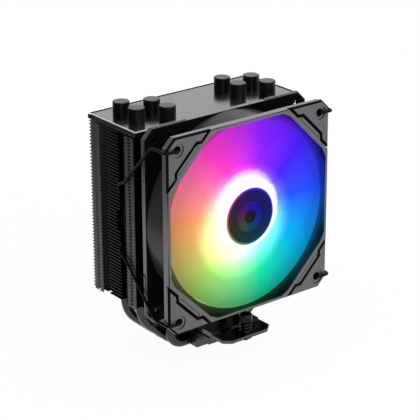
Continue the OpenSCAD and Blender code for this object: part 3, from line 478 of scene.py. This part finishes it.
def smoked_plastic(name):
    """Smoked glossy plastic of the hub cap: near black, with a dim glow of the hues behind it."""
    made, tree, shader, place = new_material(name)
    turn, distance = fan_polar(tree, place)
    shares = node(tree, "ShaderNodeValToRGB", {"Fac": math_node(tree, "DIVIDE", distance, HUB_CAP_R)})
    shares.color_ramp.elements[0].color = HUB_MIDDLE
    shares.color_ramp.elements[1].color = HUB_RIM
    for position, level in HUB_RINGS:
        shares.color_ramp.elements.new(position).color = tuple(tint * level for tint in HUB_TINT) + (1,)
    hue = rainbow(tree, turn)
    glow = node(tree, "ShaderNodeVectorMath", {0: hue, 1: shares.outputs["Color"]}, operation="MULTIPLY")
    set_shader(tree, shader, Base_Color=linear("#020203"), Roughness=0.22, Specular_IOR_Level=0.08,
               Emission_Color=glow.outputs[0], Emission_Strength=0.9)
    return made


# The last two numbers of the frame set the painted glow on its mouth and duct; the pads get none
FRAME_PLASTIC = satin_plastic("satin_frame_plastic", "#545557", "#5a5b5d", 0.28, 0.25 * MM, 0.9, 0.95)
PAD_RUBBER = satin_plastic("satin_pad_rubber", "#4e4f51", "#545557", 0.36, 0.7 * MM, 0.0, 0.0)
FIN_SHEET = fin_sheet("black_coated_aluminium", "#535456", "#5d5e60", "#0c0c0d")
TOP_SHEET = folded_sheet("brushed_anodised_aluminium", "#707173", "#8c8d8f", 0.17, (0.03, 1, 1))
BASE_METAL = brushed_metal("milled_aluminium", "#46474a", "#525356", 0.3, (1, 0.05, 1))
CLAMP_METAL = coated_sheet("dark_anodised_aluminium", "#444548", "#4e4f52", 0.3)
PIPE_PLATING = plated_metal("black_nickel_pipe", "#3a3b3e", "#46474a", 0.12)
BRACKET_PLATING = plated_metal("black_nickel_steel", "#4e4f51", "#58595b", 0.16)
COVER_PLATING = plated_metal("polished_black_nickel", "#5a5b5e", "#646568", 0.12)
SCREW_STEEL = plated_metal("blackened_steel", "#1c1d1f", "#26272a", 0.3)
SPRING_STEEL = plated_metal("blackened_spring_steel", "#1e1f21", "#2a2b2d", 0.26)
WIRE_STEEL = plated_metal("black_wire", "#0b0b0c", "#111213", 0.36)
BRIGHT_STEEL = plated_metal("zinc_plated_steel", "#a2a4a8", "#b2b4b8", 0.28)
CAP_METAL = turned_metal("turned_black_cap", "#0b0b0c", "#3a3b3e", "#5a5b5e")
LIT_PLASTIC = lit_plastic("lit_milky_plastic")
HUB_PLASTIC = smoked_plastic("smoked_hub_plastic")
MAGNET = dull_plastic("bonded_ferrite", "#242426", "#2e2e30", 0.5, 0.4)
BRONZE = plated_metal("sintered_bronze", "#8a7446", "#a08a58", 0.4)
COPPER = plated_metal("enamelled_copper_wire", "#8e4a26", "#b0602e", 0.35)
BOARD = dull_plastic("circuit_board_lacquer", "#173c28", "#1f4a32", 0.35, 0.5)
LAMP = dull_plastic("lamp_lens", "#e8e6da", "#f6f4ea", 0.3, 0.5)

dress(FRAME_PLASTIC, "fan_frame")
dress(PAD_RUBBER, *PADS)
dress(FIN_SHEET, "cooling_fins")
dress(TOP_SHEET, "top_plate")
dress(BASE_METAL, "base_plate")
dress(CLAMP_METAL, "clamp_block")
dress(BRACKET_PLATING, "mounting_bracket")
dress(SCREW_STEEL, *SCREWS)
dress(COVER_PLATING, "bracket_cover")
dress(BRIGHT_STEEL, "bracket_screws", "rotor_yoke", "fan_shaft", "stator_core")
dress(PIPE_PLATING, *PIPES)
dress(HUB_PLASTIC, "hub_cap")
dress(MAGNET, "rotor_magnet")
dress(BRONZE, "fan_bearing")
dress(COPPER, "stator_coils")
dress(BOARD, "fan_circuit_board")
dress(LAMP, "fan_lamps", "shaft_clip")


# Forms made by node trees and on a lathe

# Steps of a wire's bends and round its section, and the angle from which a lathed edge is sharp
BEND_STEPS = 10
WIRE_SIDES = 20
SHARP_ANGLE = math.radians(35)


def geometry_tree(name, inputs):
    """A geometry tree with a geometry in and out and the named inputs, and its two end nodes."""
    tree = bpy.data.node_groups.new(name, "GeometryNodeTree")
    tree.interface.new_socket("Geometry", in_out="OUTPUT", socket_type="NodeSocketGeometry")
    tree.interface.new_socket("Geometry", in_out="INPUT", socket_type="NodeSocketGeometry")
    for label, kind in inputs.items():
        tree.interface.new_socket(label, in_out="INPUT", socket_type=kind)
    return tree, node(tree, "NodeGroupInput").outputs, node(tree, "NodeGroupOutput").inputs


def end_tree(tree, ends, geometry, material):
    """Smooth shading, plain geometry and a finish, the last steps of each tree."""
    smooth = node(tree, "GeometryNodeSetShadeSmooth", {"Geometry": geometry}).outputs[0]
    plain = node(tree, "GeometryNodeRealizeInstances", {"Geometry": smooth}).outputs[0]
    finished = node(tree, "GeometryNodeSetMaterial", {"Geometry": plain, "Material": material}).outputs[0]
    tree.links.new(finished, ends["Geometry"])


def wire_tree():
    """A round wire along a line of edges, with its corners bent to a radius."""
    tree, given, ends = geometry_tree("bent_wire", {
        "Wire Radius": "NodeSocketFloat", "Bend Radius": "NodeSocketFloat", "Finish": "NodeSocketMaterial"})
    line = node(tree, "GeometryNodeMeshToCurve", {"Mesh": given["Geometry"]}).outputs[0]
    bent = node(tree, "GeometryNodeFilletCurve", {"Curve": line, "Count": BEND_STEPS, "Limit Radius": True,
                                                  "Radius": given["Bend Radius"]}, mode="POLY").outputs[0]
    section = node(tree, "GeometryNodeCurvePrimitiveCircle", {"Resolution": WIRE_SIDES,
                                                              "Radius": given["Wire Radius"]})
    wire = node(tree, "GeometryNodeCurveToMesh", {"Curve": bent, "Profile Curve": section.outputs[0],
                                                  "Fill Caps": True}).outputs[0]
    end_tree(tree, ends, wire, given["Finish"])
    return tree


def ring_tree():
    """Copies of a piece, spaced evenly round the Y axis and then moved to a centre."""
    tree, given, ends = geometry_tree("ring_of_pieces", {
        "Count": "NodeSocketInt", "Centre": "NodeSocketVector", "Finish": "NodeSocketMaterial"})
    places = node(tree, "GeometryNodePoints", {"Count": given["Count"]}).outputs[0]
    share = math_node(tree, "DIVIDE", node(tree, "GeometryNodeInputIndex").outputs[0], given["Count"])
    angle = math_node(tree, "MULTIPLY", share, 2 * math.pi)
    turn = node(tree, "ShaderNodeCombineXYZ", {"Y": angle}).outputs[0]
    copies = node(tree, "GeometryNodeInstanceOnPoints", {"Points": places, "Instance": given["Geometry"],
                                                         "Rotation": turn}).outputs[0]
    moved = node(tree, "GeometryNodeTransform", {"Geometry": copies,
                                                 "Translation": given["Centre"]}).outputs[0]
    end_tree(tree, ends, moved, given["Finish"])
    return tree


def grown(name, mesh, tree, values):
    """A plain mesh object of what a tree makes from a mesh, with the tree's inputs set."""
    made = bpy.data.objects.new(name, mesh)
    scene.collection.objects.link(made)
    modifier = made.modifiers.new("tree", "NODES")
    modifier.node_group = tree
    for item in tree.interface.items_tree:
        if item.in_out == "INPUT" and item.name in values:
            modifier[item.identifier] = values[item.name]
    graph = bpy.context.evaluated_depsgraph_get()
    plain = bpy.data.meshes.new_from_object(made.evaluated_get(graph), depsgraph=graph)
    made.modifiers.clear()
    made.data = plain
    return made


def line_mesh(name, points):
    mesh = bpy.data.meshes.new(name)
    mesh.from_pydata(points, [(k, k + 1) for k in range(len(points) - 1)], [])
    return mesh


def stands_for(made, body, slot, *names):
    """Ties a new piece to its body and hides the CAD nodes that it stands for; its slot is not used."""
    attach(made, body)
    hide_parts(*names)


def turned(name, profile, place, finish, top_from=None, steps=96):
    """A lathed piece: a profile of radius and height in millimetres, turned round Z and then placed.
    Points from top_from on belong to a face that was turned on a lathe."""
    shape = bmesh.new()
    radius_layer = shape.verts.layers.float.new("turning_radius")
    top_layer = shape.verts.layers.float.new("faced_top")
    rings = []
    for order, (radius, height) in enumerate(profile):
        ring = []
        for step in range(1 if radius == 0 else steps):
            angle = 2 * math.pi * step / steps
            spot = Vector((radius * math.cos(angle), radius * math.sin(angle), height)) * MM
            vert = shape.verts.new(place @ spot)
            vert[radius_layer] = radius * MM
            vert[top_layer] = 1.0 if top_from is not None and order >= top_from else 0.0
            ring.append(vert)
        rings.append(ring)
    for first, second in zip(rings, rings[1:]):
        for step in range(steps):
            after = (step + 1) % steps
            corners = [first[step % len(first)], first[after % len(first)],
                       second[after % len(second)], second[step % len(second)]]
            shape.faces.new(list(dict.fromkeys(corners)))
    bmesh.ops.recalc_face_normals(shape, faces=shape.faces)
    mesh = bpy.data.meshes.new(name)
    shape.to_mesh(mesh)
    shape.free()
    mesh.materials.append(finish)
    mesh.shade_smooth()
    mesh.set_sharp_from_angle(angle=SHARP_ANGLE)
    made = bpy.data.objects.new(name, mesh)
    scene.collection.objects.link(made)
    return made


BENT_WIRE = wire_tree()
PIECE_RING = ring_tree()

# Pipe caps: turned, with a rounded rim and a faced top
CAP_EDGE = 0.5
CAP_EDGE_STEPS = 6
CAP_TOP_INSET = 0.02
for cap in CAPS:
    low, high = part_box(cap)
    cap_r = (high.x - low.x) / 2 / MM
    cap_h = (high.z - low.z) / MM
    rim = [(cap_r - CAP_EDGE * (1 - math.cos(a)), cap_h - CAP_EDGE * (1 - math.sin(a)))
           for a in (k * math.pi / (2 * CAP_EDGE_STEPS) for k in range(CAP_EDGE_STEPS + 1))]
    dish = [(cap_r - CAP_EDGE - CAP_TOP_INSET, cap_h), (cap_r / 2, cap_h), (0, cap_h)]
    outline = [(0, 0), (cap_r, 0)] + rim + dish
    foot = Matrix.Translation(((low.x + high.x) / 2, (low.y + high.y) / 2, low.z))
    piece = turned(f"{cap}_turned", outline, foot, CAP_METAL, top_from=len(outline) - len(dish))
    stands_for(piece, "root", "cap_metal", cap)

# Impeller: a turned hub and a ring of nine twisted, swept blades
HUB_R = 20.8
HUB_BACK = 0.3
HUB_REAR = 20.6
HUB_WALL = 1.5
HUB_EDGE = 0.6
SEAT_R = 17.55
SEAT = 1.3
HUB_INSIDE = 2.5
BOSS_R = 3.5
BOSS_END = 5.5
BLADES = 9
TIP_R = 56.8
ROOT_CHORD, TIP_CHORD = 28, 50
ROOT_PITCH, TIP_PITCH = 22, 8
BLADE_DEPTH = 11
BLADE_RAKE = 2
BLADE_T = 1.6
SWEEP = 16
CAMBER = 0.06
TIP_THINNING = 0.35
EDGE_THINNING = 2.6
BLADE_STEPS = 28


def blade_point(s, c, side):
    """A point of a blade, about the fan's centre: s from root to tip, c along the chord, side -1 or 1."""
    radius = mix(HUB_R - HUB_WALL / 2, TIP_R, s)
    chord = mix(ROOT_CHORD, TIP_CHORD, s)
    pitch = math.radians(mix(ROOT_PITCH, TIP_PITCH, s))
    half_t = BLADE_T / 2 * (1 - TIP_THINNING * s) * (1 - EDGE_THINNING * c * c)
    lift = CAMBER * chord * (1 - 4 * c * c) + side * half_t
    along = c * chord
    turn = math.radians(SWEEP) * s * s + (along * math.cos(pitch) - lift * math.sin(pitch)) / radius
    depth = BLADE_DEPTH - BLADE_RAKE * s + along * math.sin(pitch) + lift * math.cos(pitch)
    return Vector((radius * math.cos(turn), depth, -radius * math.sin(turn))) * MM


def blade_mesh():
    """A closed blade: two skins of quads, joined round the rim."""
    row = BLADE_STEPS + 1
    sheet = row * row
    points = [blade_point(i / BLADE_STEPS, j / BLADE_STEPS - 0.5, side)
              for side in (-1, 1) for i in range(row) for j in range(row)]
    faces = []
    for i in range(BLADE_STEPS):
        for j in range(BLADE_STEPS):
            quad = [i * row + j, i * row + j + 1, (i + 1) * row + j + 1, (i + 1) * row + j]
            faces.append(quad)
            faces.append([sheet + k for k in reversed(quad)])
    rim = list(range(row))
    rim += [i * row + BLADE_STEPS for i in range(1, row)]
    rim += [BLADE_STEPS * row + j for j in reversed(range(BLADE_STEPS))]
    rim += [i * row for i in reversed(range(1, BLADE_STEPS))]
    for a, b in zip(rim, rim[1:] + rim[:1]):
        faces.append([b, a, sheet + a, sheet + b])
    mesh = bpy.data.meshes.new("blade")
    mesh.from_pydata(points, [], faces)
    return mesh


blades = grown("impeller_blades", blade_mesh(), PIECE_RING,
               {"Count": BLADES, "Centre": FAN_CENTRE, "Finish": LIT_PLASTIC})
hub = turned("impeller_hub", [
    (0, SEAT), (SEAT_R, SEAT), (SEAT_R, HUB_BACK), (HUB_R - HUB_EDGE, HUB_BACK), (HUB_R, HUB_BACK + HUB_EDGE),
    (HUB_R, HUB_REAR), (HUB_R - HUB_WALL, HUB_REAR), (HUB_R - HUB_WALL, HUB_INSIDE), (BOSS_R, HUB_INSIDE),
    (BOSS_R, BOSS_END), (0, BOSS_END)], ON_FAN, LIT_PLASTIC)
stands_for(blades, "fan_rotor", "lit_plastic", "impeller")
stands_for(hub, "fan_rotor", "lit_plastic", "impeller")

# Wire clips: hooks in the fan's holes, side arms, and a run in the fins' groove
WIRE_R = 0.85
WIRE_BEND = 2.4
HOLE_HALF = 52.5
FRONT_Y = -51.6
HOOK_Y = FRONT_Y + 3.2
WIRE_FRONT_Y = -52.95
WIRE_SIDE_X = 61.2
ARM_Y = FRONT_Y + 12.4
GROOVE_Y = -6.45
GROOVE_X = 57.0
BEND_Z = 24.3
RUN_Z = 16.8


def clip_route(side):
    """Corner points of a clip on side -1 or 1, from its upper hook to its lower one."""
    upper = [
        (HOLE_HALF, HOOK_Y, HOLE_HALF), (HOLE_HALF, WIRE_FRONT_Y, HOLE_HALF),
        (WIRE_SIDE_X, WIRE_FRONT_Y, HOLE_HALF), (WIRE_SIDE_X, ARM_Y, HOLE_HALF),
        (WIRE_SIDE_X, GROOVE_Y - 2 * WIRE_BEND - WIRE_R, BEND_Z),
        (WIRE_SIDE_X, GROOVE_Y, (BEND_Z + RUN_Z) / 2 + WIRE_R),
        (WIRE_SIDE_X, GROOVE_Y, RUN_Z), (GROOVE_X, GROOVE_Y, RUN_Z),
    ]
    lower = [(x, y, -z) for x, y, z in reversed(upper)]
    return [(side * x * MM, y * MM, FAN_Z + z * MM) for x, y, z in upper + lower]


for name, side in (("left", -1), ("right", 1)):
    clip = grown(f"{name}_clip_wire", line_mesh(f"{name}_clip_line", clip_route(side)), BENT_WIRE,
                 {"Wire Radius": WIRE_R * MM, "Bend Radius": WIRE_BEND * MM, "Finish": WIRE_STEEL})
    stands_for(clip, f"{name}_clip", "wire_steel", f"{name}_wire_clip")

# Springs under the screw heads, wound as in the CAD
SPRING_WIRE = 1.0
SPRING_R = 3.3
SPRING_TURNS = 3.5
SPRING_STEPS = 32

for name in ("front", "rear"):
    low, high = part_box(f"{name}_screw_spring")
    axis = Vector(((low.x + high.x) / 2, (low.y + high.y) / 2, 0))
    first = low.z + SPRING_WIRE / 2 * MM
    rise = high.z - low.z - SPRING_WIRE * MM
    steps = round(SPRING_TURNS * SPRING_STEPS)
    coil = []
    for k in range(steps + 1):
        angle = 2 * math.pi * k / SPRING_STEPS
        height = first + rise * k / steps
        coil.append(axis + Vector((SPRING_R * MM * math.cos(angle), SPRING_R * MM * math.sin(angle), height)))
    spring = grown(f"{name}_spring_coil", line_mesh(f"{name}_spring_line", coil), BENT_WIRE,
                   {"Wire Radius": SPRING_WIRE / 2 * MM, "Bend Radius": 0.0, "Finish": SPRING_STEEL})
    stands_for(spring, "root", "wire_steel", f"{name}_screw_spring")
    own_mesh(spring)

# Stage: a pale floor, a white room and soft lamps
FLOOR_HALF = 4.0
FLOOR_GAP = 0.1 * MM
FLOOR_WHITE = 0.96
FLOOR_NEAR, FLOOR_FAR = 0.12, 0.32
ROOM_LEVEL = 0.35
FLAG_X = -0.22
FLAG_FRONT, FLAG_REAR = -0.15, 0.9
FLAG_LOW, FLAG_HIGH = 0.001, 0.5
FLAG_GREY = "#484848"
LAMP_LEVEL = math.pi ** 2


def seen_directly(tree):
    """A socket that is 1 for rays that show the stage as it is: camera, glossy and transmission rays."""
    path = node(tree, "ShaderNodeLightPath").outputs
    either = math_node(tree, "MAXIMUM", path["Is Camera Ray"], path["Is Glossy Ray"])
    return math_node(tree, "MAXIMUM", either, path["Is Transmission Ray"])


def make_floor():
    """A pale floor that is pure white away from the object and keeps its shadow."""
    h = FLOOR_HALF
    mesh = bpy.data.meshes.new("floor")
    z = -FLOOR_GAP
    mesh.from_pydata([(-h, -h, z), (h, -h, z), (h, h, z), (-h, h, z)], [], [(0, 1, 2, 3)])
    floor = bpy.data.objects.new("floor", mesh)
    scene.collection.objects.link(floor)
    made, tree, shader, place = new_material("pale_floor")
    set_shader(tree, shader, Base_Color=linear("#f4f4f4"), Roughness=0.9, Specular_IOR_Level=0.0)
    white = node(tree, "ShaderNodeEmission", {"Color": (1, 1, 1, 1), "Strength": 1.0}).outputs[0]
    whiter = ranged(tree, length(tree, place), FLOOR_NEAR, FLOOR_FAR, FLOOR_WHITE, 1.0)
    share = math_node(tree, "MULTIPLY", seen_directly(tree), whiter)
    mixed = node(tree, "ShaderNodeMixShader", {0: share, 1: shader.outputs[0], 2: white}).outputs[0]
    tree.links.new(mixed, tree.nodes["Material Output"].inputs["Surface"])
    mesh.materials.append(made)


def make_room():
    """A white room: full white where it is seen or mirrored, and softer as a light."""
    world = bpy.data.worlds.new("white_room")
    world.use_nodes = True
    tree = world.node_tree
    level = ranged(tree, seen_directly(tree), 0.0, 1.0, ROOM_LEVEL, 1.0)
    background = tree.nodes["Background"]
    tree.links.new(level, background.inputs["Strength"])
    background.inputs["Color"].default_value = (1, 1, 1, 1)
    scene.world = world


def make_flag():
    """A grey card on the left that only reflections see, so that left sides are darker than the front."""
    mesh = bpy.data.meshes.new("flag")
    corners = [(FLAG_X, FLAG_FRONT, FLAG_LOW), (FLAG_X, FLAG_REAR, FLAG_LOW),
               (FLAG_X, FLAG_REAR, FLAG_HIGH), (FLAG_X, FLAG_FRONT, FLAG_HIGH)]
    mesh.from_pydata(corners, [], [(0, 1, 2, 3)])
    flag = bpy.data.objects.new("flag", mesh)
    scene.collection.objects.link(flag)
    made, tree, shader, _ = new_material("grey_card")
    set_shader(tree, shader, Base_Color=linear("#000000"), Specular_IOR_Level=0.0,
               Emission_Color=linear(FLAG_GREY), Emission_Strength=1.0)
    mesh.materials.append(made)
    for ray in ("camera", "diffuse", "transmission", "volume_scatter", "shadow"):
        setattr(flag, f"visible_{ray}", False)


def make_lamp(name, at, aim, size, level):
    """A square soft lamp whose level 1 lights a facing surface at its written colour."""
    data = bpy.data.lights.new(name, "AREA")
    data.size = size
    gap = Vector(at) - Vector(aim)
    data.energy = level * LAMP_LEVEL * gap.length_squared
    lamp = bpy.data.objects.new(name, data)
    lamp.location = at
    lamp.rotation_euler = gap.to_track_quat("Z", "Y").to_euler()
    scene.collection.objects.link(lamp)


make_floor()
make_room()
make_flag()
make_lamp("top_lamp", at=(0.0, -0.10, 0.95), aim=(0, 0, 0.15), size=1.6, level=1.8)
make_lamp("front_lamp", at=(-0.1, -1.1, 0.5), aim=(0, 0, 0.08), size=0.7, level=0.4)

# Camera, as the photograph was taken: a long lens, from the front left and a little above
LENS = 145.96
CAMERA_AT = Vector((-584.7, -758.9, 461.7)) * MM
CAMERA_AIM = Vector((-14.195, -31.6, 93.475)) * MM
CAMERA_ROLL = math.radians(-0.26)
camera_data = bpy.data.cameras.new("camera")
camera_data.lens = LENS
camera_data.sensor_width = 36
camera_data.clip_end = 20
camera = bpy.data.objects.new("camera", camera_data)
scene.collection.objects.link(camera)
back = (CAMERA_AT - CAMERA_AIM).normalized()
level_right = Vector((0, 0, 1)).cross(back).normalized()
level_up = back.cross(level_right)
right = level_right * math.cos(CAMERA_ROLL) + level_up * math.sin(CAMERA_ROLL)
up = level_up * math.cos(CAMERA_ROLL) - level_right * math.sin(CAMERA_ROLL)
camera.matrix_world = Matrix.Translation(CAMERA_AT) @ Matrix((right, up, back)).transposed().to_4x4()
scene.camera = camera
scene.view_settings.view_transform = "Standard"
